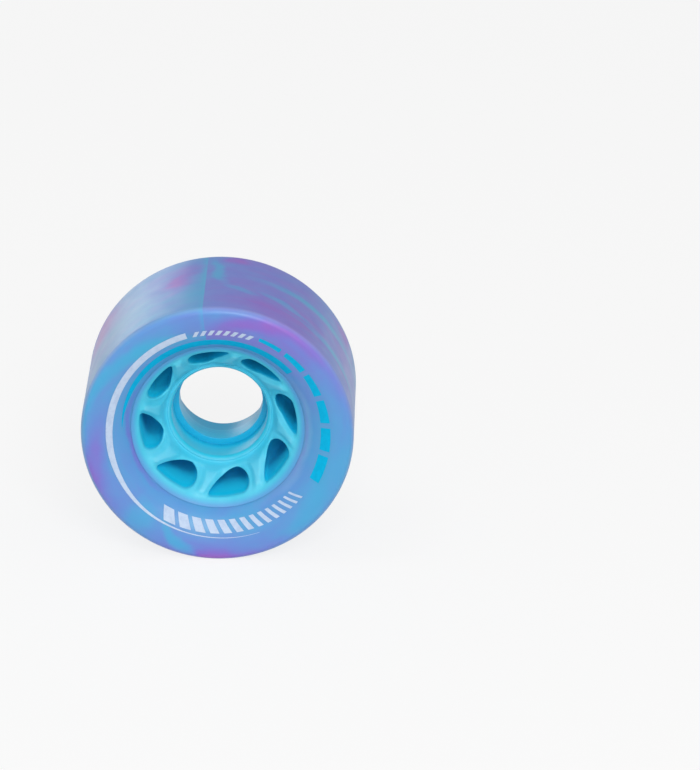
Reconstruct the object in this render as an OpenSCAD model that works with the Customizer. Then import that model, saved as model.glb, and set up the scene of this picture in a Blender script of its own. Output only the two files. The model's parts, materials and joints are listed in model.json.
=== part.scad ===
// Bare roller skate wheel: a urethane tyre cast round a moulded, swirl-spoked hub.
// The origin is the wheel's centre, the axle lies along Y and the dished front face looks to -Y.

/* [Tyre] */
// Diameter over the tread
tyre_d = 62; // [58:0.5:68]
// Width across the tread
tyre_w = 34; // [32:0.5:40]
// Radius of the rounded edges of the tread
tread_edge_r = 1.5; // [0.5:0.1:2.5]
// Flat ring on the front face, between the tread edge and the roll down to the hub
front_land_w = 0.55; // [0.2:0.05:1.5]
// Width of the roll from the flat rear face down to the hub
rear_roll_w = 4; // [2.5:0.1:6]

/* [Hub] */
// Diameter of the rim that the tyre is cast round
rim_d = 39.6; // [38.6:0.2:42]
// Depth of the rim's front edge below the tyre's front face
front_rim_depth = 4.9; // [3.5:0.1:6]
// Depth of the rim's rear edge below the tyre's rear face
rear_rim_depth = 2; // [1:0.1:2.4]
// Depth of the front boss face below the tyre's front face
front_boss_depth = 13.5; // [12:0.1:14.5]
// Diameter of the flat boss face round the front mouth
front_boss_d = 24.4; // [24:0.1:25]
// How far in from the rim the front dish turns steeper
dish_turn_w = 1.9; // [1.2:0.1:2.4]
// How far below the rim the front dish turns steeper
dish_turn_depth = 1.2; // [0.8:0.1:1.8]
// Depth of the rear boss face below the tyre's rear face
rear_boss_depth = 0.3; // [0:0.1:1]
// Diameter of the boss that stands in the rear dish
rear_boss_d = 25.6; // [24.6:0.1:26]
// Depth of the rear dish beside the boss, below the tyre's rear face
rear_dish_depth = 3.8; // [2.8:0.1:5]

/* [Bearing seats] */
// Outer diameter of the bearings
bearing_d = 22; // [21:0.5:22]
// Width of a bearing, which is the length of its seat
bearing_w = 7; // [6:0.5:7.5]
// Lead-in chamfer at the front mouth
front_lead_in = 0.7; // [0.2:0.05:0.9]
// Lead-in chamfer at the rear mouth
rear_lead_in = 0.25; // [0.1:0.05:0.5]
// Diameter of the spacer passage between the two seats
spacer_bore_d = 19.3; // [17:0.1:20]

/* [Windows] */
// Number of windows, with a spoke between each pair
window_count = 8; // [6:1:8]
// Angle of the first window, from +X towards +Z
window_start = 9; // [0:1:45]
// Wall of the rim outside the windows
rim_wall = 1.75; // [1.4:0.05:2.2]
// Radius of the round end of a window
window_end_r = 2.4; // [1.8:0.05:2.5]
// Angle from a window's middle to the centre of its round end
window_end_angle = 8.5; // [7:0.5:10]
// Radius of the pointed end of a window
window_tip_r = 0.5; // [0.3:0.05:0.8]
// Angle from a window's middle to the centre of its pointed end
window_tip_angle = 15.5; // [13:0.5:17]
// Radius of the long curved edge that faces the boss
window_long_r = 12.5; // [9:0.5:18]
// Depth of the front pockets' floor below the tyre's front face
web_depth = 19.5; // [17:0.5:21]
// Thickness of the web between the front and rear pockets
web_t = 3; // [2:0.1:4]

/* [Spoke crests] */
// Height of a crest above the dish
crest_h = 0.5; // [0.3:0.05:0.8]
// Width of a crest where it leaves the dish
crest_w = 3.2; // [2:0.1:3.6]
// Length of a crest where it leaves the dish
crest_len = 8; // [6:0.2:9]
// How far up the dish a crest's middle lies, from the boss at 0 to the rim at 1
crest_place = 0.3; // [0.2:0.05:0.4]
// Angle from a window's middle back to the crest beside it
crest_angle = 18.5; // [17:0.5:21]
// Turn of a crest away from straight out, seen square to the dish
crest_turn = 16; // [0:1:25]

/* [Tyre lock] */
// Number of ribs round the rim that the tyre grips
lock_ribs = 3; // [1:1:4]
// Width of a rib
lock_rib_w = 2.4; // [1.5:0.1:3]
// Height of a rib above the rim
lock_rib_h = 1.6; // [0.8:0.1:2.4]
// Distance from rib to rib
lock_pitch = 6; // [4:0.1:6.5]
// Number of notches across the ribs, which stop the tyre from turning on the hub
lock_notches = 8; // [4:1:16]
// Width of a notch
lock_notch_w = 4; // [2:0.1:5]

/* [Hidden] */
$fn = 96;
curve_steps = 12;
end_steps = 9;
edge_steps = 5;
cut = 1;

tyre_r = tyre_d / 2;
rim_r = rim_d / 2;
seat_r = bearing_d / 2;
front = tyre_w / 2;
rear = -tyre_w / 2;
rim_front = front - front_rim_depth;
rim_rear = rear + rear_rim_depth;
boss_front = front - front_boss_depth;
boss_rear = rear + rear_boss_depth;
web_front = front - web_depth;

// The seats run from the lead-ins to their shoulders.
front_shoulder = boss_front - front_lead_in - bearing_w;
rear_shoulder = boss_rear + rear_lead_in + bearing_w;

// The front dish is one smooth curve from the boss face to the rim.
dish_foot = [front_boss_d / 2, boss_front];
dish_turn = [rim_r - dish_turn_w, rim_front - dish_turn_depth];
dish_rim = [rim_r, rim_front];

// A crest lies along the dish's own slope at its middle.
crest_middle = dish_at(crest_place);
crest_slope = direction(
    (1 - crest_place) * (dish_turn - dish_foot) + crest_place * (dish_rim - dish_turn)
);
crest_section_r = arc_r(crest_w, crest_h);
crest_back_r = arc_r(crest_len, crest_h);

// Centres of a window's round end, pointed end and long edge.
window_outer_r = rim_r - rim_wall;
window_end = polar(window_outer_r - window_end_r, window_end_angle);
window_tip = polar(window_outer_r - window_tip_r, -window_tip_angle);
window_long = meeting_point(
    window_end, window_long_r - window_end_r,
    window_tip, window_long_r - window_tip_r
);

function polar(r, angle) = [r * cos(angle), r * sin(angle)];
function direction(v) = (atan2(v[1], v[0]) + 360) % 360;

// Radius of an arc from its chord and its rise.
function arc_r(chord, rise) = (chord * chord / 4 + rise * rise) / (2 * rise);

// Points along an arc, without its first point.
function arc(centre, r, from, to, steps) =
    [for (i = [1:steps]) centre + polar(r, from + (to - from) * i / steps)];

// Where a circle round p and a circle round q cross, on the side away from the axle.
function meeting_point(p, p_r, q, q_r) =
    let (
        gap = norm(q - p),
        along = (q - p) / gap,
        reach = (p_r * p_r - q_r * q_r + gap * gap) / (2 * gap)
    )
    p + along * reach + [-along[1], along[0]] * sqrt(p_r * p_r - reach * reach);

// A point on the front dish, from the boss at 0 to the rim at 1.
function dish_at(t) =
    (1 - t) * (1 - t) * dish_foot + 2 * t * (1 - t) * dish_turn + t * t * dish_rim;

// An arc that leaves a flat face at a radius and falls to the rim at a depth.
function roll(face, face_r, side, depth) =
    let (
        r = arc_r(2 * (face_r - rim_r), depth),
        sweep = asin((face_r - rim_r) / r),
        centre = [face_r, face - side * r]
    )
    arc(centre, r, side * 90, side * (90 + sweep), curve_steps);

// Outline of one window, whose middle lies along X.
function window_outline() = concat(
    arc([0, 0], window_outer_r, -window_tip_angle, window_end_angle, edge_steps),
    arc(window_end, window_end_r, window_end_angle, direction(window_end - window_long), end_steps),
    arc(
        window_long, window_long_r,
        direction(window_end - window_long), direction(window_tip - window_long), edge_steps
    ),
    arc(
        window_tip, window_tip_r,
        direction(window_tip - window_long), 360 - window_tip_angle, edge_steps
    )
);

// Turns a piece modelled with its axis along Z, front up, into the wheel's own frame.
module on_axle() {
    rotate([90, 0, 0]) children();
}

module each_window() {
    for (i = [0:window_count - 1]) {
        rotate(window_start + i * 360 / window_count) children();
    }
}

// Ribs round the rim, cut across by notches: part of the hub, and the hollow in the tyre.
module tyre_lock() {
    middle = (rim_front + rim_rear) / 2;
    reach = lock_pitch * (lock_ribs - 1) + lock_rib_w;
    difference() {
        for (i = [0:lock_ribs - 1]) {
            translate([0, 0, middle - reach / 2 + i * lock_pitch]) {
                cylinder(r = rim_r + lock_rib_h, h = lock_rib_w);
            }
        }
        for (i = [0:lock_notches - 1]) {
            rotate(i * 360 / lock_notches) {
                translate([rim_r, -lock_notch_w / 2, middle - reach / 2 - cut]) {
                    cube([lock_rib_h + cut, lock_notch_w, reach + 2 * cut]);
                }
            }
        }
    }
}

// Solid hub: boss, front dish, rim and shallow rear dish.
module hub_blank() {
    rotate_extrude() polygon(concat(
        [[0, boss_front]],
        [for (i = [0:curve_steps]) dish_at(i / curve_steps)],
        [
            [rim_r, rim_rear],
            [rear_boss_d / 2, rear + rear_dish_depth],
            [rear_boss_d / 2, boss_rear],
            [0, boss_rear]
        ]
    ));
}

// Slim lens-shaped body along Z, of which only the back shows above the dish.
module crest_body() {
    half = sqrt(2 * crest_back_r * crest_section_r - crest_section_r * crest_section_r);
    sweep = asin(half / crest_back_r);
    rotate_extrude() polygon(concat(
        [[0, -half]],
        arc([crest_section_r - crest_back_r, 0], crest_back_r, -sweep, sweep, 2 * curve_steps)
    ));
}

// Rounded crests that run up the spokes.
module crests() {
    intersection() {
        cylinder(r = rim_r - rim_wall / 2, h = front);
        each_window() rotate(-crest_angle) translate([crest_middle[0], 0, crest_middle[1]]) {
            rotate([0, -crest_slope, 0]) rotate(-crest_turn) {
                translate([0, 0, crest_h - crest_section_r]) rotate([0, 90, 0]) crest_body();
            }
        }
    }
}

// Front and rear pockets, with a web left between them.
module pockets() {
    each_window() {
        translate([0, 0, web_front]) linear_extrude(front - web_front) {
            polygon(window_outline());
        }
        translate([0, 0, rear - cut]) linear_extrude(web_front - web_t - rear + cut) {
            polygon(window_outline());
        }
    }
}

// Two bearing seats with lead-ins, and the spacer passage between them.
module bores() {
    translate([0, 0, rear - cut]) cylinder(d = spacer_bore_d, h = tyre_w);
    translate([0, 0, front_shoulder]) cylinder(r = seat_r, h = front - front_shoulder);
    translate([0, 0, rear - cut]) cylinder(r = seat_r, h = rear_shoulder - rear + cut);
    translate([0, 0, boss_front - front_lead_in]) {
        cylinder(r1 = seat_r, r2 = seat_r + front_lead_in + cut, h = front_lead_in + cut);
    }
    translate([0, 0, boss_rear - cut]) {
        cylinder(r1 = seat_r + rear_lead_in + cut, r2 = seat_r, h = rear_lead_in + cut);
    }
}

module hub() {
    color("#45c1e6") on_axle() difference() {
        union() {
            hub_blank();
            tyre_lock();
            crests();
        }
        pockets();
        bores();
    }
}

module tyre() {
    front_face_r = tyre_r - tread_edge_r - front_land_w;
    rear_face_r = rim_r + rear_roll_w;
    edge_r = tyre_r - tread_edge_r;
    rear_roll = roll(rear, rear_face_r, -1, rear_rim_depth);
    color("#7a86d0") on_axle() difference() {
        rotate_extrude() polygon(concat(
            [[rear_face_r, rear], [edge_r, rear]],
            arc([edge_r, rear + tread_edge_r], tread_edge_r, -90, 0, edge_steps),
            [[tyre_r, front - tread_edge_r]],
            arc([edge_r, front - tread_edge_r], tread_edge_r, 0, 90, edge_steps),
            [[front_face_r, front]],
            roll(front, front_face_r, 1, front_rim_depth),
            [for (i = [curve_steps - 1:-1:0]) rear_roll[i]]
        ));
        tyre_lock();
    }
}

hub();
tyre();
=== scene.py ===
import json
import math

import bmesh
import bpy
from mathutils import Matrix, Vector


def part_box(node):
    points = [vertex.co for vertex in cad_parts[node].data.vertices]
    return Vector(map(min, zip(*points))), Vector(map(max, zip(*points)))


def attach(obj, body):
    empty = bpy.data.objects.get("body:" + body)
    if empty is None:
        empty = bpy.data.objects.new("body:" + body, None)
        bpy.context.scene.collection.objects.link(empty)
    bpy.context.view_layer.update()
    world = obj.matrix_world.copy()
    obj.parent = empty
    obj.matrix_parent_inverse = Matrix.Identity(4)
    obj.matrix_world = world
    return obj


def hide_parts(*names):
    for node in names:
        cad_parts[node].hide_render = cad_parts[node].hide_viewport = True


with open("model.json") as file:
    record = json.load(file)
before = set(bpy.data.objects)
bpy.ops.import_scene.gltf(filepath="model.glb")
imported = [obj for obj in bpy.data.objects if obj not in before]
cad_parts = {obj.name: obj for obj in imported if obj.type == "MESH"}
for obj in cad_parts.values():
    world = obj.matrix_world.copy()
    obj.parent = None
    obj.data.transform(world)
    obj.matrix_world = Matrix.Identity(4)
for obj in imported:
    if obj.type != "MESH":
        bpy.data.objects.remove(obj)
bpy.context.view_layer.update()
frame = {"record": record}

# Sizes taken from the frame, in metres, with heights along the axle towards the front
MM = 0.001
QUARTER_TURN = math.pi / 2
FULL_TURN = 2 * math.pi
AXLE = Vector((0, 0))
tyre_low, tyre_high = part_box("tyre")
mounts = {mount["name"]: mount for mount in frame["record"]["mounts"]}
TYRE_R = tyre_high.x
FRONT = -tyre_low.y
REAR = -tyre_high.y
SEAT_R = mounts["front_bearing_seat"]["dims"]["r_mm"] * MM
SEAT_LENGTH = mounts["front_bearing_seat"]["dims"]["length_mm"] * MM
PASSAGE_R = mounts["spacer_passage"]["dims"]["r_mm"] * MM

# Points closer than this are one point
TOUCHING = 0.002 * MM

# Sizes of the tyre, and the steps round it, round a tread edge, across the tread and along a roll
TREAD_EDGE_R = 1.5 * MM
FRONT_LAND = 0.55 * MM
REAR_ROLL = 4 * MM
FRONT_FACE_R = TYRE_R - TREAD_EDGE_R - FRONT_LAND
TYRE_STEPS = 256
EDGE_STEPS = 12
TREAD_STEPS = 12
ROLL_STEPS = 28

# Sizes of the hub, whose dish is a curve from boss to rim that DISH_TURN pulls towards itself
RIM_R = 19.8 * MM
RIM_FRONT = FRONT - 4.9 * MM
RIM_REAR = REAR + 2 * MM
BOSS_FRONT = FRONT - 13.5 * MM
BOSS_REAR = REAR + 0.3 * MM
FRONT_BOSS_R = 12.2 * MM
REAR_BOSS_R = 12.8 * MM
REAR_DISH = REAR + 3.8 * MM
DISH_TURN = Vector((RIM_R - 1.9 * MM, RIM_FRONT - 1.2 * MM))
FRONT_LEAD_IN = 0.7 * MM
REAR_LEAD_IN = 0.25 * MM
FRONT_SHOULDER = BOSS_FRONT - FRONT_LEAD_IN - SEAT_LENGTH
REAR_SHOULDER = BOSS_REAR + REAR_LEAD_IN + SEAT_LENGTH
FRONT_POCKET = FRONT - 19.5 * MM
REAR_POCKET = FRONT_POCKET - 3 * MM

# How far the webs of spokes end from the boss and from the rim, which leaves room for soft corners
BOSS_MARGIN = 0.2 * MM
RIM_MARGIN = 0.45 * MM

# Fine groove round the mouth of the bore
MOUTH_GROOVE_R = 11.95 * MM
MOUTH_GROOVE_W = 0.26 * MM
MOUTH_GROOVE_DEPTH = 0.22 * MM

# Sizes of the windows between the spokes
WINDOWS = 8
WINDOW_PITCH = FULL_TURN / WINDOWS
WINDOW_START = math.radians(9)
WINDOW_OUTER_R = RIM_R - 1.75 * MM
WINDOW_END_R = 2.4 * MM
WINDOW_END_ANGLE = math.radians(8.5)
WINDOW_TIP_R = 0.5 * MM
WINDOW_TIP_ANGLE = math.radians(-15.5)
WINDOW_LONG_R = 12.5 * MM

# Rounded lips of the windows: radius, and radius on the long edge
FRONT_LIPS = (0.4 * MM, 1.4 * MM)
REAR_LIPS = (0.3 * MM, 0.3 * MM)
# How far a wall lies inside its window's outline, as a share of its lip's radius
LIP_INSET = 0.4
# How much of the way from a window's edge to the spoke's middle a lip may take
LIP_LIMIT = 0.55

# Sizes of the ribs under the tyre
LOCK_RIBS = 3
LOCK_RIB_W = 2.4 * MM
LOCK_RIB_H = 1.6 * MM
LOCK_RIB_SUNK = 0.4 * MM
LOCK_PITCH = 6 * MM
LOCK_NOTCHES = 8
LOCK_NOTCH_W = 4 * MM
LOCK_STEPS = 10


def on_wheel(radius, angle, height):
    """A point at a radius, an angle from +X towards +Z, and a height towards the front."""
    return Vector((radius * math.cos(angle), -height, radius * math.sin(angle)))


def polar(radius, angle):
    return Vector((radius * math.cos(angle), radius * math.sin(angle)))


def direction(vector):
    return math.atan2(vector.y, vector.x) % FULL_TURN


def smooth_step(low, high, value):
    share = min(max((value - low) / (high - low), 0), 1)
    return share * share * (3 - 2 * share)


def arc(centre, radius, start, stop, steps):
    turn = (stop - start) / steps
    return [centre + polar(radius, start + turn * i) for i in range(steps + 1)]


def roll_radius(reach, depth):
    """Radius of an arc that leaves a flat face and falls by a depth over its reach."""
    return (reach * reach + depth * depth) / (2 * depth)


def roll(face, face_r, side, depth):
    """An arc that leaves a flat face at a radius and falls to the rim at a depth."""
    reach = face_r - RIM_R
    radius = roll_radius(reach, depth)
    centre = Vector((face_r, face - side * radius))
    start = side * QUARTER_TURN
    return arc(centre, radius, start, start + side * math.asin(reach / radius), ROLL_STEPS)


def softened(corners, points=4):
    """A chain of (radius, height) corners, each rounded over its own length."""
    chain = []
    for before, corner, after in zip(corners, corners[1:], corners[2:]):
        middle = Vector(corner[:2])
        entry = middle + (Vector(before[:2]) - middle).normalized() * corner[2]
        leave = middle + (Vector(after[:2]) - middle).normalized() * corner[2]
        for i in range(points + 1):
            share = i / points
            chain.append(entry.lerp(middle, share).lerp(middle.lerp(leave, share), share))
    return chain


# Modelling steps
def start_piece(name, add, **size):
    bpy.ops.object.select_all(action="DESELECT")
    add(**size)
    piece = bpy.context.object
    piece.name = name
    piece.data.name = name
    bpy.ops.object.mode_set(mode="EDIT")
    bpy.ops.mesh.select_mode(type="VERT")
    return piece


def end_piece(piece, smooth_angle=35):
    bpy.ops.mesh.select_all(action="SELECT")
    bpy.ops.mesh.remove_doubles(threshold=TOUCHING)
    bpy.ops.mesh.normals_make_consistent(inside=False)
    bpy.ops.object.mode_set(mode="OBJECT")
    bpy.ops.object.shade_smooth_by_angle(angle=math.radians(smooth_angle))
    return piece


def pick(piece, wanted):
    """Selects the vertices whose places a test picks, and what lies between them."""
    bpy.ops.mesh.select_all(action="DESELECT")
    mesh = bmesh.from_edit_mesh(piece.data)
    for vertex in mesh.verts:
        vertex.select = wanted(vertex.co)
    mesh.select_flush_mode()
    bmesh.update_edit_mesh(piece.data)


def number_loop(piece):
    """Numbers a new circle's vertices in turn, and the loops extruded from it keep the numbers."""
    mesh = bmesh.from_edit_mesh(piece.data)
    layers = mesh.verts.layers.int
    number = layers.get("number") or layers.new("number")
    for i, vertex in enumerate(v for v in mesh.verts if v.select):
        vertex[number] = i
    bmesh.update_edit_mesh(piece.data)


def place_loop(piece, places):
    mesh = bmesh.from_edit_mesh(piece.data)
    number = mesh.verts.layers.int["number"]
    for vertex in mesh.verts:
        if vertex.select:
            vertex.co = places[vertex[number]]
    bmesh.update_edit_mesh(piece.data)


def extrude_loop(piece, places):
    bpy.ops.mesh.extrude_region_move(TRANSFORM_OT_translate={"value": (0, 0, 0)})
    place_loop(piece, places)


def extrude_rings(ring, chain):
    """Extrudes the selected ring from one (radius, height) to the next along a chain."""
    for here, there in zip([ring] + chain, chain):
        step = (0, here.y - there.y, 0)
        bpy.ops.mesh.extrude_region_move(TRANSFORM_OT_translate={"value": step})
        scale = there.x / here.x
        bpy.ops.transform.resize(value=(scale, 1, scale), center_override=(0, 0, 0))


def lathe(name, chain, steps):
    """Turns a closed chain of (radius, height) points round the axle."""
    piece = start_piece(name, bpy.ops.mesh.primitive_plane_add, size=MM)
    bpy.ops.mesh.merge(type="CENTER")
    points = [on_wheel(point.x, 0, point.y) for point in chain]
    bpy.ops.transform.translate(value=points[0])
    for here, there in zip(points, points[1:]):
        bpy.ops.mesh.extrude_region_move(TRANSFORM_OT_translate={"value": there - here})
    bpy.ops.mesh.select_all(action="SELECT")
    bpy.ops.mesh.spin(steps=steps, angle=FULL_TURN, center=(0, 0, 0), axis=(0, 1, 0))
    return piece


def cut_with(piece, tool, operation):
    bpy.context.view_layer.objects.active = piece
    change = piece.modifiers.new("lock", "BOOLEAN")
    change.operation = operation
    change.object = tool
    change.solver = "EXACT"
    bpy.ops.object.modifier_apply(modifier=change.name)


# The ribs that lock the tyre to the hub, cut across by notches
def lock_ribs():
    first = (RIM_FRONT + RIM_REAR) / 2 - LOCK_PITCH * (LOCK_RIBS - 1) / 2
    notch = 2 * math.asin(LOCK_NOTCH_W / 2 / RIM_R)
    pitch = FULL_TURN / LOCK_NOTCHES
    piece = start_piece("lock_ribs", bpy.ops.mesh.primitive_plane_add, size=MM)
    bpy.ops.mesh.delete(type="VERT")
    for rib in range(LOCK_RIBS):
        height = first + rib * LOCK_PITCH
        for i in range(LOCK_NOTCHES):
            start = notch / 2 + i * pitch
            bpy.ops.mesh.primitive_plane_add(size=MM)
            mesh = bmesh.from_edit_mesh(piece.data)
            corners = [v for v in mesh.verts if v.select]
            for vertex in corners:
                radius = RIM_R + (LOCK_RIB_H if vertex.co.x > 0 else -LOCK_RIB_SUNK)
                side = LOCK_RIB_W / 2 if vertex.co.y > 0 else -LOCK_RIB_W / 2
                vertex.co = on_wheel(radius, start, height + side)
            bmesh.update_edit_mesh(piece.data)
            bpy.ops.mesh.spin(steps=LOCK_STEPS, angle=notch - pitch, center=(0, 0, 0), axis=(0, 1, 0))
    return end_piece(piece)


# The tyre, turned from its section
def cast_tyre(ribs):
    edge_r = TYRE_R - TREAD_EDGE_R
    front_edge = Vector((edge_r, FRONT - TREAD_EDGE_R))
    rear_edge = Vector((edge_r, REAR + TREAD_EDGE_R))
    chain = list(reversed(roll(FRONT, FRONT_FACE_R, 1, FRONT - RIM_FRONT)))
    chain += arc(front_edge, TREAD_EDGE_R, QUARTER_TURN, 0, EDGE_STEPS)
    chain += [
        Vector((TYRE_R, front_edge.y + (rear_edge.y - front_edge.y) * i / TREAD_STEPS))
        for i in range(1, TREAD_STEPS)
    ]
    chain += arc(rear_edge, TREAD_EDGE_R, 0, -QUARTER_TURN, EDGE_STEPS)
    chain += roll(REAR, RIM_R + REAR_ROLL, -1, RIM_REAR - REAR)
    chain.append(chain[0])
    piece = end_piece(lathe("tyre_casting", chain, TYRE_STEPS))
    cut_with(piece, ribs, "DIFFERENCE")
    return piece


# The hub's front dish and rear dish, as heights over the radius
def dish_height(radius):
    foot = Vector((FRONT_BOSS_R, BOSS_FRONT))
    rim = Vector((RIM_R, RIM_FRONT))
    bend = foot - 2 * DISH_TURN + rim
    slope = 2 * (DISH_TURN - foot)
    rise = max(radius, foot.x) - foot.x
    share = (-slope.x + math.sqrt(slope.x ** 2 + 4 * bend.x * rise)) / (2 * bend.x)
    return foot.y + slope.y * share + bend.y * share * share


def rear_dish_height(radius):
    share = (RIM_R - radius) / (RIM_R - REAR_BOSS_R)
    return RIM_REAR + (REAR_DISH - RIM_REAR) * share


def crossing(p, p_r, q, q_r):
    """Where two circles cross, on the side away from the axle."""
    gap = (q - p).length
    along = (q - p) / gap
    reach = (p_r * p_r - q_r * q_r + gap * gap) / (2 * gap)
    across = Vector((-along.y, along.x)) * math.sqrt(p_r * p_r - reach * reach)
    return p + along * reach + across


# How many steps a window's loop takes along the rim or the boss, and along a side
RIM_STEPS = 24
SIDE_STEPS = 20
LOOP = 2 * (RIM_STEPS + SIDE_STEPS)
# How many points each of the outline's four arcs is first drawn with
ARC_STEPS = 60

# Where the loop's corners lie: two angles round the window's wide end, and a share of its long edge
RIM_CORNER = math.radians(45)
BOSS_CORNER = math.radians(140)
LONG_CORNER = 0.6

# How far a spoke's middle line is turned at the boss and at the rim
INNER_TURN = math.radians(6.5)
OUTER_TURN = math.radians(-3.5)

# The raised collar round a window's wide end: its size, level share and end along the long edge
COLLAR_W = 0.7 * MM
COLLAR_H = 0.2 * MM
COLLAR_LEVEL = 0.6
COLLAR_END = 0.75
# The groove beside the collar, and the share of it that lies before the spoke's back rises
GROOVE_W = 1 * MM
GROOVE_SHARE = 0.8
# The spoke's rounded back: its height, its flank's width, and the share of the spoke by which it starts
CREST_H = 1.05 * MM
CREST_RISE = 1.5 * MM
CREST_START = 0.3
# Distances out from the boss over which this relief grows, and in from the rim over which it fades
BOSS_FADE = (0.2 * MM, 1.5 * MM)
RIM_FADE = (3.2 * MM, 1.3 * MM)

# How far a pocket's floor curves up into its walls, in height and as a share of the way in
BOWL_RISE = 2.5 * MM
BOWL_SHARE = 0.45


class WindowLoop:
    """One window's outline, the border of its eighth of the hub, and the way from one to the other."""

    def __init__(self, inner_r, outer_r):
        self.edge = self.outline()
        self.border = self.eighth(inner_r, outer_r)
        self.reach = [(there - here).length for here, there in zip(self.edge, self.border)]
        self.middle = sum(self.edge, Vector((0, 0))) / LOOP

    def outline(self):
        end = polar(WINDOW_OUTER_R - WINDOW_END_R, WINDOW_END_ANGLE)
        tip = polar(WINDOW_OUTER_R - WINDOW_TIP_R, WINDOW_TIP_ANGLE)
        far = crossing(end, WINDOW_LONG_R - WINDOW_END_R, tip, WINDOW_LONG_R - WINDOW_TIP_R)
        to_end = direction(end - far)
        to_tip = direction(tip - far)
        points = arc(AXLE, WINDOW_OUTER_R, WINDOW_TIP_ANGLE, WINDOW_END_ANGLE, ARC_STEPS)
        points += arc(end, WINDOW_END_R, WINDOW_END_ANGLE, to_end, ARC_STEPS)[1:]
        points += arc(far, WINDOW_LONG_R, to_end, to_tip, ARC_STEPS)[1:]
        points += arc(tip, WINDOW_TIP_R, to_tip, WINDOW_TIP_ANGLE + FULL_TURN, ARC_STEPS)[1:]
        lengths = [0]
        for here, there in zip(points, points[1:]):
            lengths.append(lengths[-1] + (there - here).length)
        self.rim_end = lengths[ARC_STEPS]
        self.round_end = lengths[2 * ARC_STEPS]
        self.long_end = lengths[3 * ARC_STEPS]
        corners = [
            0,
            self.rim_end + WINDOW_END_R * RIM_CORNER,
            self.rim_end + WINDOW_END_R * BOSS_CORNER,
            self.round_end + LONG_CORNER * (self.long_end - self.round_end),
            lengths[-1],
        ]
        self.along = []
        for first, last, steps in zip(corners, corners[1:], 2 * (RIM_STEPS, SIDE_STEPS)):
            self.along += [first + (last - first) * i / steps for i in range(steps)]
        edge = []
        index = 0
        for length in self.along:
            while lengths[index + 1] < length:
                index += 1
            share = (length - lengths[index]) / (lengths[index + 1] - lengths[index])
            edge.append(points[index].lerp(points[index + 1], share))
        return edge

    def eighth(self, inner_r, outer_r):
        half = WINDOW_PITCH / 2

        def spoke_middle(share, side):
            """A point on a spoke's middle line, from the boss at 0 to the rim at 1."""
            turn = INNER_TURN + (OUTER_TURN - INNER_TURN) * share
            return polar(inner_r + (outer_r - inner_r) * share, side * half + turn)

        rim = arc(AXLE, outer_r, OUTER_TURN - half, OUTER_TURN + half, RIM_STEPS)
        boss = arc(AXLE, inner_r, INNER_TURN + half, INNER_TURN - half, RIM_STEPS)
        shares = [i / SIDE_STEPS for i in range(SIDE_STEPS)]
        down = [spoke_middle(1 - share, 1) for share in shares]
        up = [spoke_middle(share, -1) for share in shares]
        return rim[:-1] + down + boss[:-1] + up

    def collar(self, i):
        """Share of the collar that is left, as it runs out towards the pointed end."""
        grow = smooth_step(0, self.rim_end, self.along[i])
        run_out = self.round_end + COLLAR_END * (self.long_end - self.round_end)
        return grow * (1 - smooth_step(self.round_end, run_out, self.along[i]))

    def lip(self, i, plain, long_edge):
        """Radius of the rounded lip, which is larger on the long edge."""
        grow = smooth_step(self.rim_end + WINDOW_END_R * QUARTER_TURN, self.round_end, self.along[i])
        shrink = 1 - smooth_step(self.round_end, self.long_end, self.along[i])
        return min(plain + (long_edge - plain) * grow * shrink, LIP_LIMIT * self.reach[i])

    def at(self, i, distance):
        return self.edge[i].lerp(self.border[i], distance / self.reach[i])


def spoke_height(radius, distance, width, collar):
    """Height of a spoke over the dish: a collar at the window's edge, a groove, and a rounded back."""
    from_boss = smooth_step(FRONT_BOSS_R + BOSS_FADE[0], FRONT_BOSS_R + BOSS_FADE[1], radius)
    from_rim = 1 - smooth_step(RIM_R - RIM_FADE[0], RIM_R - RIM_FADE[1], radius)
    edge = collar * (1 - smooth_step(COLLAR_LEVEL * COLLAR_W, COLLAR_W + GROOVE_W, distance))
    foot = min(collar * (COLLAR_W + GROOVE_SHARE * GROOVE_W), CREST_START * width)
    back = smooth_step(foot, min(foot + CREST_RISE, width), distance)
    return from_boss * from_rim * (COLLAR_H * edge + CREST_H * back)


def web_rings(loop, side, dish, crest, floor, lips):
    """Rings of points from a pocket's floor up its wall, over its lip and along the spokes' halves."""
    floor_steps, wall_steps, lip_steps, spoke_steps = 8, 4, 7, 14
    lip = [loop.lip(i, *lips) for i in range(LOOP)]
    inset = [LIP_INSET * radius for radius in lip]
    width = [reach + sunk for reach, sunk in zip(loop.reach, inset)]
    rings = []

    def stand(point, level):
        return on_wheel(point.length, math.atan2(point.y, point.x) + WINDOW_START, level)

    def at(i, distance):
        return loop.at(i, distance - inset[i])

    def surface(i, distance):
        radius = at(i, distance).length
        rise = spoke_height(radius, distance, width[i], loop.collar(i))
        return dish(radius) + side * crest * rise

    for step in range(floor_steps + 1):
        turn = QUARTER_TURN * step / floor_steps
        level = floor + side * BOWL_RISE * (1 - math.cos(turn))
        share = BOWL_SHARE * (1 - math.sin(turn))
        rings.append([stand(at(i, 0).lerp(loop.middle, share), level) for i in range(LOOP)])
    for step in range(1, wall_steps):
        foot = floor + side * BOWL_RISE
        walls = [surface(i, 0) - side * lip[i] - foot for i in range(LOOP)]
        rings.append([stand(at(i, 0), foot + walls[i] * step / wall_steps) for i in range(LOOP)])
    for step in range(lip_steps):
        turn = QUARTER_TURN * step / lip_steps
        away = [lip[i] * (1 - math.cos(turn)) for i in range(LOOP)]
        drop = [lip[i] * (1 - math.sin(turn)) for i in range(LOOP)]
        rings.append([
            stand(at(i, away[i]), surface(i, away[i]) - side * drop[i]) for i in range(LOOP)
        ])
    for step in range(spoke_steps + 1):
        away = [lip[i] + (width[i] - lip[i]) * step / spoke_steps for i in range(LOOP)]
        rings.append([stand(at(i, away[i]), surface(i, away[i])) for i in range(LOOP)])
    return rings


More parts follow.
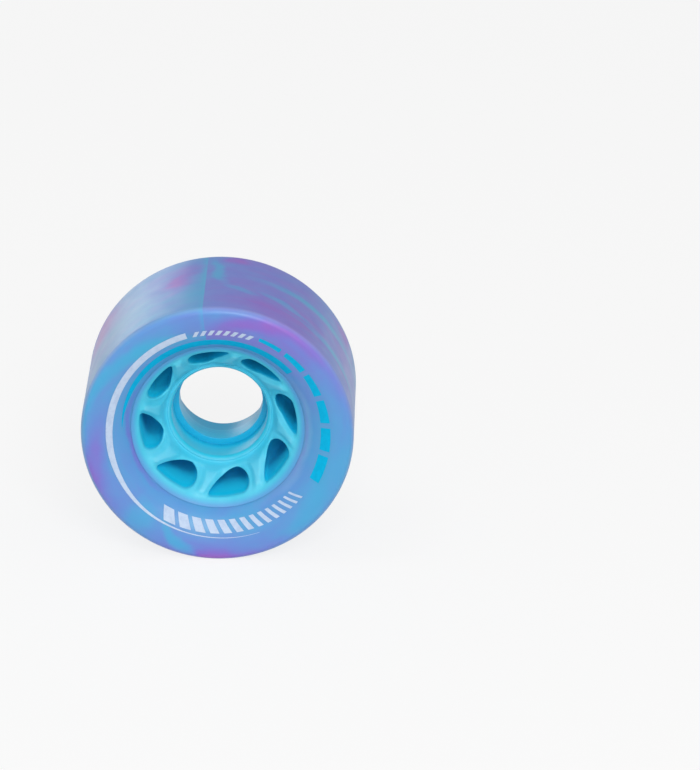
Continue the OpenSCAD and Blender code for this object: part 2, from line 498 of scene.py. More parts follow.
def model_web(name, rings, floor):
    """Models one pocket with the halves of the spokes beside it, and turns seven more round."""
    piece = start_piece(name, bpy.ops.mesh.primitive_circle_add, vertices=LOOP, radius=RIM_R)
    number_loop(piece)
    place_loop(piece, rings[0])
    bpy.ops.mesh.select_all(action="SELECT")
    for ring in rings[1:]:
        extrude_loop(piece, ring)
    pick(piece, lambda place: abs(place.y + floor) < TOUCHING)
    bpy.ops.mesh.edge_face_add()
    bpy.ops.mesh.select_all(action="SELECT")
    others = WINDOWS - 1
    bpy.ops.mesh.spin(
        steps=others, dupli=True, angle=others * WINDOW_PITCH, center=(0, 0, 0), axis=(0, 1, 0)
    )
    return end_piece(piece)


def bore_chain(inner, rear_inner):
    """The bore from the front web to the rear one, each corner with the length of its rounding."""
    return softened([
        (inner.x, inner.y),
        (FRONT_BOSS_R, BOSS_FRONT, 0.1 * MM),
        (MOUTH_GROOVE_R + MOUTH_GROOVE_W / 2, BOSS_FRONT, 0.02 * MM),
        (MOUTH_GROOVE_R, BOSS_FRONT - MOUTH_GROOVE_DEPTH, 0.04 * MM),
        (MOUTH_GROOVE_R - MOUTH_GROOVE_W / 2, BOSS_FRONT, 0.02 * MM),
        (SEAT_R + FRONT_LEAD_IN, BOSS_FRONT, 0.1 * MM),
        (SEAT_R, BOSS_FRONT - FRONT_LEAD_IN, 0.6 * MM),
        (SEAT_R, FRONT_SHOULDER, 0.03 * MM),
        (PASSAGE_R, FRONT_SHOULDER, 0.15 * MM),
        (PASSAGE_R, REAR_SHOULDER, 0.15 * MM),
        (SEAT_R, REAR_SHOULDER, 0.15 * MM),
        (SEAT_R, BOSS_REAR + REAR_LEAD_IN, 0.08 * MM),
        (SEAT_R + REAR_LEAD_IN, BOSS_REAR, 0.08 * MM),
        (REAR_BOSS_R, BOSS_REAR, 0.35 * MM),
        (REAR_BOSS_R, REAR_DISH, 0.18 * MM),
        (rear_inner.x, rear_inner.y),
    ]) + [rear_inner]


def rim_chain(outer, rear_outer):
    """The rim under the tyre, from the front web to the rear one."""
    return softened([
        (outer.x, outer.y),
        (RIM_R, RIM_FRONT, 0.05 * MM),
        (RIM_R, RIM_REAR, 0.05 * MM),
        (rear_outer.x, rear_outer.y),
    ]) + [rear_outer]


# The hub: front and rear webs, joined through the bore and round the rim
def mould_hub(ribs):
    inner_r = FRONT_BOSS_R + BOSS_MARGIN
    rear_inner_r = REAR_BOSS_R + BOSS_MARGIN
    outer_r = RIM_R - RIM_MARGIN
    inner = Vector((inner_r, dish_height(inner_r)))
    outer = Vector((outer_r, dish_height(outer_r)))
    rear_inner = Vector((rear_inner_r, rear_dish_height(rear_inner_r)))
    rear_outer = Vector((outer_r, rear_dish_height(outer_r)))
    front_loop = WindowLoop(inner.x, outer.x)
    rear_loop = WindowLoop(rear_inner.x, rear_outer.x)
    front_rings = web_rings(front_loop, 1, dish_height, 1, FRONT_POCKET, FRONT_LIPS)
    rear_rings = web_rings(rear_loop, -1, rear_dish_height, 0, REAR_POCKET, REAR_LIPS)
    piece = model_web("front_web", front_rings, FRONT_POCKET)
    rear_web = model_web("rear_web", rear_rings, REAR_POCKET)
    bpy.ops.object.select_all(action="DESELECT")
    piece.select_set(True)
    rear_web.select_set(True)
    bpy.context.view_layer.objects.active = piece
    bpy.ops.object.join()
    piece.name = "hub_moulding"
    piece.data.name = "hub_moulding"
    bpy.ops.object.mode_set(mode="EDIT")
    for ring, chain in ((inner, bore_chain(inner, rear_inner)), (outer, rim_chain(outer, rear_outer))):
        pick(piece, lambda place: (
            abs(math.hypot(place.x, place.z) - ring.x) + abs(place.y + ring.y) < TOUCHING
        ))
        extrude_rings(ring, chain)
    end_piece(piece)
    cut_with(piece, ribs, "UNION")
    return piece


# The ink printed on the tyre's front face: how far it rises over the face and sinks into it
INK_RISE = 0.035 * MM
INK_SUNK = 0.03 * MM
# Points across a stripe, degrees between its sections, and the angle up to which it is shaded smooth
INK_ACROSS = 6
INK_STEP = 1.5
INK_SMOOTH = 25
# The stripes, as (angle in degrees, outer radius, inner radius in millimetres)
WHITE_ARC = [
    (106, 25.87, 24.3), (135, 25.57, 23.98), (165, 25.35, 23.75),
    (185, 25.3, 23.85), (205, 25.27, 24.2), (225, 25.37, 24.72),
    (250, 25.42, 25.15), (270, 25.6, 25.43), (292, 25.82, 25.77),
]
CYAN_ARC = [
    (42, 22.85, 21.15), (90, 22.85, 21.15), (125, 22.8, 21.25),
    (145, 22.55, 21.35), (160, 22.2, 21.42), (178, 21.75, 21.68),
]
DASH_BAND = [(-27, 25.75, 23.5), (0, 25.75, 23.5), (30, 25.75, 24.05), (69, 25.75, 24.9)]
DASHES = [(-26.5, -11.5), (-8.5, 4.5), (7.5, 20.5), (23.5, 36.5), (39.5, 52.5), (55.5, 68)]
# Bars that grow thinner along the lower edge
BARS = 14
BARS_START = 238
BAR_BAND = (24.6, 21.9)
BAR_WIDE = 7
BAR_SHRINK = 0.88
BAR_GAP = 2.6
BAR_SLANT = -4
BAR_STEPS = 4
# Ticks of one size along the upper edge
TICKS = 8
TICKS_START = 71.9
TICK_BAND = (25.6, 24.3)
TICK_WIDE = 2.2
TICK_PITCH = 4
TICK_SLANT = 2
TICK_STEPS = 2


def face_point(radius, lift):
    """A point on the tyre's rolled front face, raised square to it."""
    roll_r = roll_radius(FRONT_FACE_R - RIM_R, FRONT - RIM_FRONT)
    centre = Vector((FRONT_FACE_R, FRONT - roll_r))
    away = radius - FRONT_FACE_R
    normal = Vector((away / roll_r, math.sqrt(1 - (away / roll_r) ** 2)))
    return centre + normal * (roll_r + lift)


def band_at(keys, angle):
    """Outer and inner radius of a printed band, on smooth curves through its keys."""
    index = max(i for i in range(len(keys) - 1) if keys[i][0] <= angle or i == 0)
    first, last = keys[index], keys[index + 1]
    before = keys[max(index - 1, 0)]
    after = keys[min(index + 2, len(keys) - 1)]
    span = last[0] - first[0]
    share = (angle - first[0]) / span
    radii = []
    for k in (1, 2):
        rise_in = (last[k] - before[k]) / (last[0] - before[0]) * span
        rise_out = (after[k] - first[k]) / (after[0] - first[0]) * span
        radii.append(
            first[k] * (1 + 2 * share) * (1 - share) ** 2
            + last[k] * (3 - 2 * share) * share ** 2
            + rise_in * share * (1 - share) ** 2
            - rise_out * share ** 2 * (1 - share)
        )
    return radii


def ink_section(angle, outer, inner, slant=0):
    """A thin closed section of ink across a band, that follows the face."""
    places = []
    for i in range(2 * INK_ACROSS):
        top = i < INK_ACROSS
        step = i if top else 2 * INK_ACROSS - 1 - i
        share = step / (INK_ACROSS - 1)
        point = face_point((outer + (inner - outer) * share) * MM, INK_RISE if top else -INK_SUNK)
        places.append(on_wheel(point.x, math.radians(angle + slant * (share - 0.5)), point.y))
    return places


def print_stripe(piece, sections):
    """Adds one stripe to a print, from its first section to its last."""
    bpy.ops.mesh.select_all(action="DESELECT")
    bpy.ops.mesh.primitive_circle_add(vertices=2 * INK_ACROSS, radius=MM)
    number_loop(piece)
    place_loop(piece, sections[0])
    bpy.ops.mesh.edge_face_add()
    for section in sections[1:]:
        extrude_loop(piece, section)


def print_band(piece, keys, start, stop):
    """Adds the stretch of a band between two angles to a print."""
    count = max(2, round((stop - start) / INK_STEP))
    angles = [start + (stop - start) * i / count for i in range(count + 1)]
    print_stripe(piece, [ink_section(angle, *band_at(keys, angle)) for angle in angles])


def print_bar(piece, start, wide, band, slant, steps):
    """Adds one slanted bar across a band to a print."""
    angles = [start + wide * i / steps for i in range(steps + 1)]
    print_stripe(piece, [ink_section(angle, *band, slant=slant) for angle in angles])


def start_print(name):
    piece = start_piece(name, bpy.ops.mesh.primitive_circle_add, radius=MM)
    bpy.ops.mesh.delete(type="VERT")
    return piece


def print_white():
    piece = start_print("print_white")
    print_band(piece, WHITE_ARC, WHITE_ARC[0][0], WHITE_ARC[-1][0])
    start = BARS_START
    for i in range(BARS):
        wide = BAR_WIDE * BAR_SHRINK ** i
        print_bar(piece, start, wide, BAR_BAND, BAR_SLANT, BAR_STEPS)
        start += wide + BAR_GAP
    for i in range(TICKS):
        print_bar(piece, TICKS_START + i * TICK_PITCH, TICK_WIDE, TICK_BAND, TICK_SLANT, TICK_STEPS)
    return end_piece(piece, INK_SMOOTH)


def print_cyan():
    piece = start_print("print_cyan")
    print_band(piece, CYAN_ARC, CYAN_ARC[0][0], CYAN_ARC[-1][0])
    for start, stop in DASHES:
        print_band(piece, DASH_BAND, start, stop)
    return end_piece(piece, INK_SMOOTH)


# Materials
class Bench:
    """Adds nodes to a tree, each with its settings, values and links."""

    def __init__(self, tree):
        self.tree = tree

    def add(self, kind, inputs=None, **settings):
        node = self.tree.nodes.new("ShaderNode" + kind)
        for name, value in settings.items():
            setattr(node, name, value)
        self.feed(node, inputs or {})
        return node

    def feed(self, node, inputs):
        """Links an input to a socket, or sets its own value to a number, vector or colour."""
        for key, value in inputs.items():
            if isinstance(value, bpy.types.NodeSocket):
                self.tree.links.new(value, node.inputs[key])
            else:
                node.inputs[key].default_value = value

    def math(self, operation, *values):
        return self.add("Math", dict(enumerate(values)), operation=operation).outputs[0]

    def length(self, first, second):
        squares = [self.math("MULTIPLY", side, side) for side in (first, second)]
        return self.math("SQRT", self.math("ADD", *squares))

    def mix(self, share, first, second):
        return self.add("Mix", {0: share, 2: first, 3: second}).outputs[0]

    def blend(self, share, first, second):
        """Mixes two colours."""
        return self.add("Mix", {0: share, 6: first, 7: second}, data_type="RGBA").outputs[2]

    def spread(self, value, low, high):
        """Takes a value from low to high on a smooth curve to 0 and 1."""
        node = self.add("MapRange", {0: value, 1: low, 2: high}, interpolation_type="SMOOTHSTEP")
        return node.outputs[0]

    def noise(self, place, scale, detail, **more):
        inputs = {"Vector": place, "Scale": scale, "Detail": detail, **more}
        return self.add("TexNoise", inputs).outputs


def colour(code):
    """Linear colour of a hexadecimal screen colour."""
    parts = [int(code[i:i + 2], 16) / 255 for i in (0, 2, 4)]
    return tuple(p / 12.92 if p <= 0.04045 else ((p + 0.055) / 1.055) ** 2.4 for p in parts) + (1,)


def new_group(name, inputs, outputs):
    tree = bpy.data.node_groups.new(name, "ShaderNodeTree")
    for names, way in ((inputs, "INPUT"), (outputs, "OUTPUT")):
        for socket in names:
            kind = "NodeSocketVector" if socket == "Vector" else "NodeSocketFloat"
            tree.interface.new_socket(socket, in_out=way, socket_type=kind)
    entry = tree.nodes.new("NodeGroupInput").outputs
    result = tree.nodes.new("NodeGroupOutput")
    return tree, Bench(tree), entry, result


def new_material(name):
    material = bpy.data.materials.new(name)
    material.use_nodes = True
    return material, Bench(material.node_tree), material.node_tree.nodes["Principled BSDF"]


def satin_grain():
    """Fine moulded grain: a roughness that varies from low to high, and a height for bump."""
    names = ("Vector", "Low", "High")
    tree, bench, entry, result = new_group("satin_grain", names, ("Roughness", "Height"))
    cloudy = bench.noise(entry["Vector"], scale=260, detail=3)[0]
    fine = bench.noise(entry["Vector"], scale=5200, detail=2)[0]
    level = bench.add("MapRange", {0: cloudy, 1: 0.3, 2: 0.7, 3: entry["Low"], 4: entry["High"]})
    height = bench.math("MULTIPLY_ADD", fine, 0.35, cloudy)
    bench.feed(result, {"Roughness": level.outputs[0], "Height": height})
    return tree


def pour_swirl():
    """A soft swirl of pigment round a place on the unrolled tyre, which may lean along U or V."""
    names = ("U", "V", "At U", "At V", "Half U", "Half V", "Lean U", "Lean V")
    tree, bench, entry, result = new_group("pour_swirl", names, ("Mask",))
    u = bench.math("SUBTRACT", entry["U"], entry["At U"])
    v = bench.math("SUBTRACT", entry["V"], entry["At V"])
    across = bench.math("SUBTRACT", u, bench.math("MULTIPLY", v, entry["Lean U"]))
    along = bench.math("SUBTRACT", v, bench.math("MULTIPLY", u, entry["Lean V"]))
    across = bench.math("DIVIDE", across, entry["Half U"])
    along = bench.math("DIVIDE", along, entry["Half V"])
    bench.feed(result, {"Mask": bench.spread(bench.length(across, along), 1, 0.15)})
    return tree


# Angle of the seam where the pour begins and ends, its width in degrees and how much bluer it is
SEAM_ANGLE = 96
SEAM_WIDE = 3
SEAM_BLUE = -0.14
# Swirls on the two faces: angle from the seam, radius, half width, half height, lean along U, strength
FACE_SWIRLS = [
    (338, 28.2, 22, 5, -6, 0.24),
    (314, 30.4, 36, 2.6, 0, 0.14),
    (318, 29.5, 45, 7, -3, 0.28),
    (357, 29, 26, 9, 0, 0.06),
    (6, 29, 24, 9, 0, 0.1),
    (46, 28, 22, 6, 9, -0.28),
    (96, 28.3, 27, 6, 5.5, 0.31),
    (102, 31, 18, 2.6, 0, 0.15),
    (116, 28, 24, 7, 0, 0.1),
    (132, 26.8, 14, 5, 0, -0.18),
    (157, 28.6, 6.5, 6, 2.4, -0.36),
    (172, 30, 36, 7, 0, 0.2),
    (169, 31, 26, 3.4, 0, 0.34),
    (196, 31, 34, 3, 0, 0.2),
    (224, 28, 19, 6, -5, -0.16),
    (262, 28, 34, 7, 0, -0.1),
    (92, 20.2, 60, 0.9, 0, 0.32),
    (258, 20.2, 40, 0.7, 0, 0.16),
    (345, 23.6, 55, 3, 0, 0.26),
    (316, 25.5, 28, 4.5, 0, 0.14),
]
# Swirls on the tread: angle from the seam, height, half width, half height, leans along U and V, strength
TREAD_SWIRLS = [
    (326, 0, 75, 36, 0, 0, 0.36),
    (328, 13, 48, 11, 0, 0, 0.11),
    (318, 16.5, 26, 5, 0, 0, 0.06),
    (296, 8, 34, 2.4, 0, 0, -0.42),
    (325, 4.6, 18, 2.2, 0, -0.12, -0.38),
    (308, -5, 42, 2.4, 0, 0.03, -0.42),
    (354, -6, 4, 10, -0.35, 0, -0.36),
    (345, 4, 10, 2, 0, -0.16, -0.3),
    (9, -6, 11, 11, 0, 0.5, 0.33),
    (16, -3, 15, 22, 0, 0, 0.2),
    (30, 4, 36, 12, 0, 0, -0.12),
    (4, 9, 10, 13, 0, 0, -0.08),
    (56, -9, 20, 14, 0, 0, 0.55),
    (172, 15.5, 28, 5, 0, 0, 0.42),
    (289, -12.5, 12, 4.5, 0, 0, 0.3),
    (347, -14, 9, 4, 0, 0, 0.25),
    (170, 6, 40, 4.5, 0, 0.05, 0.4),
    (220, -4, 60, 3, 0, 0.04, -0.34),
    (110, -2, 50, 4, 0, -0.06, 0.34),
]
# Pale patches that paint light, written the same way: on the faces a lit band by the hub and a painted
# highlight on the left edge, on the tread a painted sheen
FACE_PAINTED_LIGHT = [
    (262, 20.4, 85, 1.5, 0, 0.15),
    (98, 31.2, 55, 1.4, 0, 0.12),
]
TREAD_PAINTED_SHEEN = [
    (52, 0, 36, 30, 0, 0, 0.28),
    (150, 8, 40, 6, 0, 0.08, 0.3),
]
# The pigments from sky blue to violet, each with its place in the mix, and the pale colour that paints
# highlights and sheen
PIGMENTS = [
    (0.05, "46AED8"), (0.3, "56A3D6"), (0.5, "6893D5"),
    (0.68, "7684D2"), (0.86, "8A70CC"), (1.0, "A068C4"),
]
SHEEN_PAINT = "DEE0F0"
# How far the pour drifts round the tyre in degrees, and across a face and the tread in millimetres
DRIFT_ROUND = 16
DRIFT_FACE = 3
DRIFT_TREAD = 5
# The mix before its swirls: its level, how far clouds and streaks change it, and how streaks are stretched
MIX_LEVEL = 0.2
CLOUD_SHARE = 0.4
STREAK_SHARE = 0.35
STREAK_STRETCH = (0.02, 0.16, 0.12)
# Heights where the sides begin, radii where the tread begins, and its rounded edges, in millimetres, and
# how much painted highlight those edges take
SIDE_HEIGHTS = (8, 12)
TREAD_RADII = (30.1, 30.9)
EDGE_HEIGHTS = (15, 15.8)
EDGE_RADII = (30.2, 30.9)
EDGE_HIGHLIGHT = 0.11


def wheel_place(bench):
    """Place on a piece, the place in millimetres, its three axes, and the radius from the axle."""
    place = bench.add("TexCoord").outputs["Object"]
    in_mm = bench.add("VectorMath", {0: place, "Scale": 1 / MM}, operation="SCALE").outputs[0]
    axes = bench.add("SeparateXYZ", {0: in_mm}).outputs
    return place, in_mm, axes, bench.length(axes["X"], axes["Z"])


def add_swirls(bench, swirl, rows, u, v, mask):
    """The swirls of a table added up, where a mask lets them show."""
    total = None
    for at_u, at_v, half_u, half_v, *lean, strength in rows:
        values = {"U": u, "V": v, "At U": at_u, "At V": at_v, "Half U": half_u, "Half V": half_v}
        values.update(zip(("Lean U", "Lean V"), lean))
        mark = bench.add("Group", values, node_tree=swirl)
        amount = bench.math("MULTIPLY", mark.outputs["Mask"], strength)
        total = amount if total is None else bench.math("ADD", total, amount)
    return bench.math("MULTIPLY", total, mask)


def pigment_ramp(bench, share):
    node = bench.add("ValToRGB", {0: share})
    stops = node.color_ramp.elements
    while len(stops) < len(PIGMENTS):
        stops.new(0.5)
    for stop, (position, code) in zip(stops, PIGMENTS):
        stop.position = position
        stop.color = colour(code)
    return node.outputs[0]


def urethane(grain):
    """Cast urethane: two pigments poured into each other, in swirls that drift round the tyre."""
    material, bench, shader = new_material("cast_urethane")
    place, in_mm, axes, radius = wheel_place(bench)
    height = bench.math("MULTIPLY", axes["Y"], -1)
    from_middle = bench.math("ABSOLUTE", height)
    on_sides = bench.spread(from_middle, *SIDE_HEIGHTS)
    on_tread = bench.spread(radius, *TREAD_RADII)
    on_face = bench.math("MULTIPLY", on_sides, bench.math("SUBTRACT", 1, on_tread))

    # The tyre unrolled: round it from the seam, and across a face or the tread
    drift = bench.noise(in_mm, scale=0.085, detail=5, Roughness=0.58)["Color"]
    shift = bench.add("VectorMath", {0: drift, 1: (0.5, 0.5, 0.5)}, operation="SUBTRACT").outputs[0]
    shift = bench.add("SeparateXYZ", {0: shift}).outputs
    angle = bench.math("DEGREES", bench.math("ARCTAN2", axes["Z"], axes["X"]))
    from_seam = bench.math("FLOORED_MODULO", bench.math("SUBTRACT", angle, SEAM_ANGLE), 360)
    u = bench.math("MULTIPLY_ADD", shift["X"], DRIFT_ROUND, from_seam)
    v_face = bench.math("MULTIPLY_ADD", shift["Y"], DRIFT_FACE, radius)
    v_tread = bench.math("MULTIPLY_ADD", shift["Z"], DRIFT_TREAD, height)

    # How far the mix is from blue to violet: clouds, streaks, swirls and the seam
    stretched = [bench.math("MULTIPLY", *pair) for pair in zip((u, v_tread, radius), STREAK_STRETCH)]
    streak_place = bench.add("CombineXYZ", dict(enumerate(stretched))).outputs[0]
    streaks = bench.noise(streak_place, scale=1.6, detail=3, Distortion=0.6)[0]
    clouds = bench.noise(in_mm, scale=0.055, detail=2, Distortion=0.8)[0]
    mixed = bench.math("MULTIPLY_ADD", clouds, CLOUD_SHARE, MIX_LEVEL)
    mixed = bench.math("MULTIPLY_ADD", bench.math("SUBTRACT", streaks, 0.5), STREAK_SHARE, mixed)
    swirl = pour_swirl()
    mixed = bench.math("ADD", mixed, add_swirls(bench, swirl, FACE_SWIRLS, u, v_face, on_face))
    mixed = bench.math("ADD", mixed, add_swirls(bench, swirl, TREAD_SWIRLS, u, v_tread, on_tread))
    seam = bench.math("MULTIPLY", bench.spread(from_seam, SEAM_WIDE, 0), SEAM_BLUE)
    tint = pigment_ramp(bench, bench.math("ADD", mixed, seam))

    # Painted light: pale patches that stand for highlights and sheen, and a painted highlight on the two
    # rounded edges of the tread
    edge = bench.spread(from_middle, *EDGE_HEIGHTS)
    edge = bench.math("MULTIPLY", bench.spread(radius, *EDGE_RADII), edge)
    face_light_paint = add_swirls(bench, swirl, FACE_PAINTED_LIGHT, u, v_face, on_face)
    tread_sheen_paint = add_swirls(bench, swirl, TREAD_PAINTED_SHEEN, u, v_tread, on_tread)
    painted_light = bench.math("MULTIPLY_ADD", edge, EDGE_HIGHLIGHT, bench.math("ADD", face_light_paint, tread_sheen_paint))
    finish = bench.add("Group", {"Vector": place, "Low": 0.3, "High": 0.4}, node_tree=grain).outputs
    bump = bench.add("Bump", {"Height": finish["Height"], "Strength": 0.05, "Distance": 0.02 * MM})
    bench.feed(shader, {
        "Base Color": bench.blend(painted_light, tint, colour(SHEEN_PAINT)),
        "Roughness": finish["Roughness"],
        "Normal": bump.outputs[0],
        "IOR": 1.48,
        "Specular IOR Level": 0.4,
        "Subsurface Weight": 0.4,
        "Subsurface Radius": (0.6, 0.75, 1),
        "Subsurface Scale": 2 * MM,
    })
    return material


# Tints of the hub: its mottled faces; a painted highlight on the crests; window walls painted brighter and
# purer as painted light bounced inside the pockets; pocket floors painted dark as painted shade; and the
# rim next to the tyre
FACE_TINTS = ("48CAE3", "5ACFE8")
CREST_HIGHLIGHT = "7CD8EE"
WALL_PAINTED_LIGHT = "00D2F2"
POCKET_FLOOR_SHADE = "0084BA"
RIM_TINT = "5AA0DA"
# Depths under a straight dish over which crests take their painted highlight, walls their painted light
# and floors their painted shade, and walls turn rough
CREST_DEPTHS = (-0.9, -2)
WALL_DEPTHS = (-0.6, 1.4)
FLOOR_DEPTHS = (6, 14)
ROUGH_DEPTHS = (1, 4)
# Radii over which the rim takes its tint, and places along Y over which the rear takes the faces' own,
# without the pocket floors' painted shade
RIM_RADII = (18.2, 19.8)
REAR_PLACES = (10, 13)
# Tints of the bore: the front seat with painted light at its mouth, the rear seat painted darker as shade
# deeper in the bore, painted shade in the front seat's corner, and the passage
SEAT_TINT = "00D4F0"
MOUTH_LIGHT = "36CEE6"
REAR_SEAT_SHADE = "00B2DA"
CORNER_SHADE = "00B2D8"
PASSAGE_TINTS = ("00B4DC", "24CCE6")
# Distances from the front shoulder over which the corner takes its painted shade, and where the mouth's
# painted light begins
CORNER_REACH = (2.4, 0.1)
MOUTH_REACH = 1
# Distances outside the seats and the passage over which the bore's tints take over
BORE_START = 0.5
BORE_FULL = 0.2
PASSAGE_START = 0.15
# How rough the pockets and the bore are
POCKET_ROUGHNESS = 0.9
BORE_ROUGHNESS = 0.38


def bore_tint(bench, axes, radius):
    """Tint of the bore: seats with painted light at the front mouth, painted shade in a corner and on the
    rear seat, a streaked passage.
    """
    front_shoulder = -FRONT_SHOULDER / MM
    # Painted light: paler towards the front mouth
    mouth_light = bench.spread(axes["Y"], front_shoulder - MOUTH_REACH, -BOSS_FRONT / MM)
    tint = bench.blend(mouth_light, colour(SEAT_TINT), colour(MOUTH_LIGHT))
    # Painted shade: darker towards the rear seat
    rear_shade = bench.spread(axes["Y"], front_shoulder, -REAR_SHOULDER / MM)
    tint = bench.blend(rear_shade, tint, colour(REAR_SEAT_SHADE))
    from_shoulder = bench.math("ABSOLUTE", bench.math("SUBTRACT", axes["Y"], front_shoulder))
    # Painted shade in the front seat's corner
    tint = bench.blend(bench.spread(from_shoulder, *CORNER_REACH), tint, colour(CORNER_SHADE))
    rings = bench.add("CombineXYZ", {1: axes["Y"], 2: bench.math("MULTIPLY", radius, 0.2)}).outputs[0]
    streak = bench.spread(bench.noise(rings, scale=3.5, detail=3)[0], 0.4, 0.62)
    worn = bench.blend(streak, *map(colour, PASSAGE_TINTS))
    in_passage = bench.spread(radius, PASSAGE_R / MM + PASSAGE_START, PASSAGE_R / MM)
    return bench.blend(in_passage, tint, worn)


def nylon(grain):
    """Satin nylon, with painted highlights on the crests, painted light and shade in the pockets and bore,
    and the tyre's tint at the rim.
    """
    material, bench, shader = new_material("hub_nylon")
    place, in_mm, axes, radius = wheel_place(bench)
    steep = (RIM_FRONT - BOSS_FRONT) / (RIM_R - FRONT_BOSS_R)
    dish = bench.math("MULTIPLY_ADD", radius, steep, (BOSS_FRONT - steep * FRONT_BOSS_R) / MM)
    depth = bench.math("ADD", dish, axes["Y"])
    mottle = bench.spread(bench.noise(in_mm, scale=0.18, detail=4)[0], 0.3, 0.7)
    face = bench.blend(mottle, *map(colour, FACE_TINTS))
    # Painted highlight on the crests
    face = bench.blend(bench.spread(depth, *CREST_DEPTHS), face, colour(CREST_HIGHLIGHT))
    # Pocket walls painted brighter and purer: painted light
    tint = bench.blend(bench.spread(depth, *WALL_DEPTHS), face, colour(WALL_PAINTED_LIGHT))
    # Pocket floors painted darker: painted shade
    tint = bench.blend(bench.spread(depth, *FLOOR_DEPTHS), tint, colour(POCKET_FLOOR_SHADE))
    tint = bench.blend(bench.spread(axes["Y"], *REAR_PLACES), tint, face)
    tint = bench.blend(bench.spread(radius, *RIM_RADII), tint, colour(RIM_TINT))
    in_bore = bench.spread(radius, SEAT_R / MM + BORE_START, SEAT_R / MM + BORE_FULL)
    finish = bench.add("Group", {"Vector": place, "Low": 0.48, "High": 0.58}, node_tree=grain).outputs
    bump = bench.add("Bump", {"Height": finish["Height"], "Strength": 0.08, "Distance": 0.02 * MM})
    rougher = bench.mix(bench.spread(depth, *ROUGH_DEPTHS), finish["Roughness"], POCKET_ROUGHNESS)
    bench.feed(shader, {
        "Base Color": bench.blend(in_bore, tint, bore_tint(bench, axes, radius)),
        "Roughness": bench.mix(in_bore, rougher, BORE_ROUGHNESS),
        "Normal": bump.outputs[0],
        "Specular IOR Level": 0.55,
        "Subsurface Weight": 0.15,
        "Subsurface Radius": (0.3, 0.9, 1),
        "Subsurface Scale": 2 * MM,
    })
    return material


# Tints of each ink, where it is thin and where it is full
WHITE_INK = ("B6C8E2", "C4D4EA")
CYAN_INK = ("00AAD8", "00B4E0")


def ink(name, tints, grain):
    """Pad-printed ink, a little darker where it is thin."""
    material, bench, shader = new_material(name)
    place = bench.add("TexCoord").outputs["Object"]
    cover = bench.spread(bench.noise(place, scale=900, detail=5, Roughness=0.6)[0], 0.3, 0.6)
    finish = bench.add("Group", {"Vector": place, "Low": 0.45, "High": 0.6}, node_tree=grain).outputs
    bench.feed(shader, {
        "Base Color": bench.blend(cover, *map(colour, tints)),
        "Roughness": finish["Roughness"],
        "Specular IOR Level": 0.1,
    })
    return material


# The pieces, each with its finish
ribs = lock_ribs()
tyre = cast_tyre(ribs)
hub = mould_hub(ribs)
bpy.data.objects.remove(ribs)
white_print = print_white()
cyan_print = print_cyan()
grain = satin_grain()
finishes = (
    (tyre, "tyre_urethane", urethane(grain)),
    (hub, "hub_nylon", nylon(grain)),
    (white_print, "white_ink", ink("white_ink", WHITE_INK, grain)),
    (cyan_print, "cyan_ink", ink("cyan_ink", CYAN_INK, grain)),
)
for piece, slot, material in finishes:
    piece.data.materials.clear()
    piece.data.materials.append(material)
    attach(piece, "root")
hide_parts("tyre")
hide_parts("hub")

# Camera at the photograph's view
VIEW_TARGET = Vector((28.67, 89.04, -31)) * MM
VIEW_DISTANCE = 1184.6 * MM
VIEW_ELEVATION = math.radians(22.55)
VIEW_TURN = math.radians(0.74)
VIEW_ROLL = math.radians(0.52)
VIEW_LENS = 221.8
VIEW_REACH = 20

# Light from all round: its brightest side, its level, what that side adds, and the least from any side
FILL_FROM = (0, -0.97, 0.2)
FILL_LEVEL = 0.4
FILL_MORE = 0.33
FILL_LEAST = 0.22
# The surroundings as they are seen: their level at the sides, and how it changes towards the back
SHOWN_LEVEL = 0.8
SHOWN_CHANGE = -0.3

# The pale floor: its size, its colour under light and to the eye, and its own glow to the eye
FLOOR_SIZE = 8
FLOOR_LIT = (0.75, 0.75, 0.75, 1)
FLOOR_SEEN = (0.15, 0.15, 0.15, 1)
FLOOR_GLOW = 0.82
WHITE = (1, 1, 1, 1)

# Soft studio lamps: name, place, size in metres and power in watts
SOFTBOXES = (
    ("key_softbox", (0.16, -0.84, 0.62), 0.45, 5.7),
    ("top_softbox", (-0.4, -0.08, 0.92), 0.25, 0.7),
    ("back_softbox", (-0.5, 1.18, 0.19), 0.5, 1.35),
)


def set_camera():
    flat = math.cos(VIEW_ELEVATION)
    forward = Vector((
        -flat * math.sin(VIEW_TURN), flat * math.cos(VIEW_TURN), -math.sin(VIEW_ELEVATION)
    ))
    level = forward.cross(Vector((0, 0, 1))).normalized()
    upright = level.cross(forward)
    right = level * math.cos(VIEW_ROLL) + upright * math.sin(VIEW_ROLL)
    up = right.cross(forward)
    bpy.ops.object.camera_add()
    camera = bpy.context.object
    camera.matrix_world = Matrix((right, up, -forward)).transposed().to_4x4()
    camera.location = VIEW_TARGET - forward * VIEW_DISTANCE
    camera.data.lens = VIEW_LENS
    camera.data.clip_end = VIEW_REACH
    bpy.context.scene.camera = camera


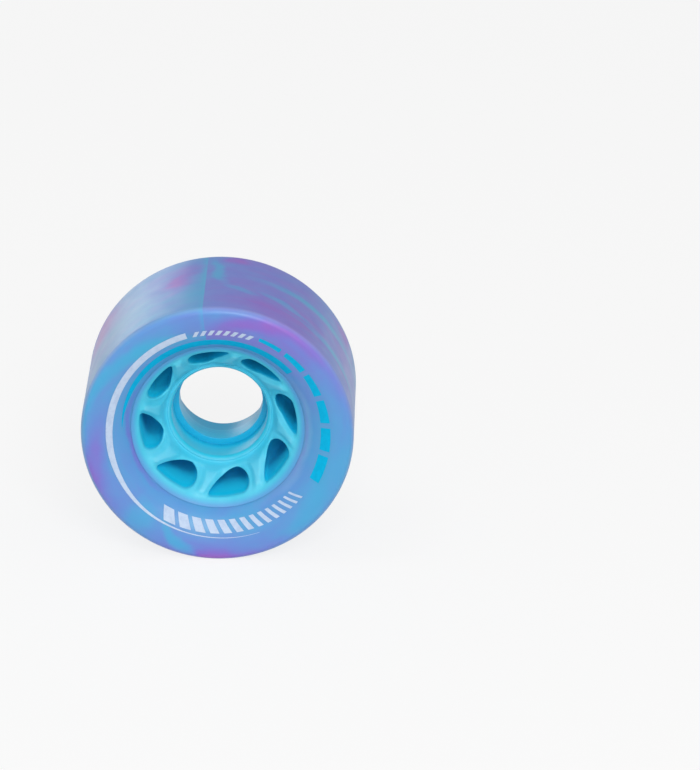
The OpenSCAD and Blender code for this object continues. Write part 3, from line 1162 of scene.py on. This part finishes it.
def seen_rays(bench):
    """1 for the rays by which the surroundings are seen, straight, in gloss or through glass."""
    path = bench.add("LightPath").outputs
    seen = bench.math("MAXIMUM", path["Is Camera Ray"], path["Is Glossy Ray"])
    return bench.math("MAXIMUM", seen, path["Is Transmission Ray"])


def set_world():
    """Soft light all round, brighter from the front, with pale surroundings where they are seen."""
    world = bpy.data.worlds.new("studio")
    world.use_nodes = True
    bpy.context.scene.world = world
    bench = Bench(world.node_tree)
    sight = bench.add("TexCoord").outputs["Generated"]
    facing = bench.add("VectorMath", {0: sight, 1: FILL_FROM}, operation="DOT_PRODUCT").outputs["Value"]
    fill = bench.math("MAXIMUM", bench.math("MULTIPLY_ADD", facing, FILL_MORE, FILL_LEVEL), FILL_LEAST)
    to_back = bench.add("SeparateXYZ", {0: sight}).outputs["Y"]
    shown = bench.math("MINIMUM", bench.math("MULTIPLY_ADD", to_back, SHOWN_CHANGE, SHOWN_LEVEL), 1)
    bench.feed(world.node_tree.nodes["Background"], {
        "Color": WHITE,
        "Strength": bench.mix(seen_rays(bench), fill, shown),
    })


def set_floor():
    """Pale paper that shows near white and keeps a soft shadow."""
    bpy.ops.mesh.primitive_plane_add(size=FLOOR_SIZE, location=(0, 0, -TYRE_R))
    floor = bpy.context.object
    floor.name = "floor"
    paper, bench, shader = new_material("floor_paper")
    seen = seen_rays(bench)
    bench.feed(shader, {
        "Base Color": bench.blend(seen, FLOOR_LIT, FLOOR_SEEN),
        "Emission Color": WHITE,
        "Emission Strength": bench.math("MULTIPLY", seen, FLOOR_GLOW),
        "Roughness": 1,
        "Specular IOR Level": 0,
    })
    floor.data.materials.append(paper)


def add_softbox(name, place, size, power):
    bpy.ops.object.light_add(type="AREA", location=place)
    lamp = bpy.context.object
    lamp.name = name
    lamp.data.energy = power
    lamp.data.size = size
    lamp.visible_camera = False
    lamp.rotation_euler = (-Vector(place)).to_track_quat("-Z", "Y").to_euler()


set_camera()
set_world()
set_floor()
for softbox in SOFTBOXES:
    add_softbox(*softbox)

bpy.context.scene.view_settings.view_transform = "Standard"
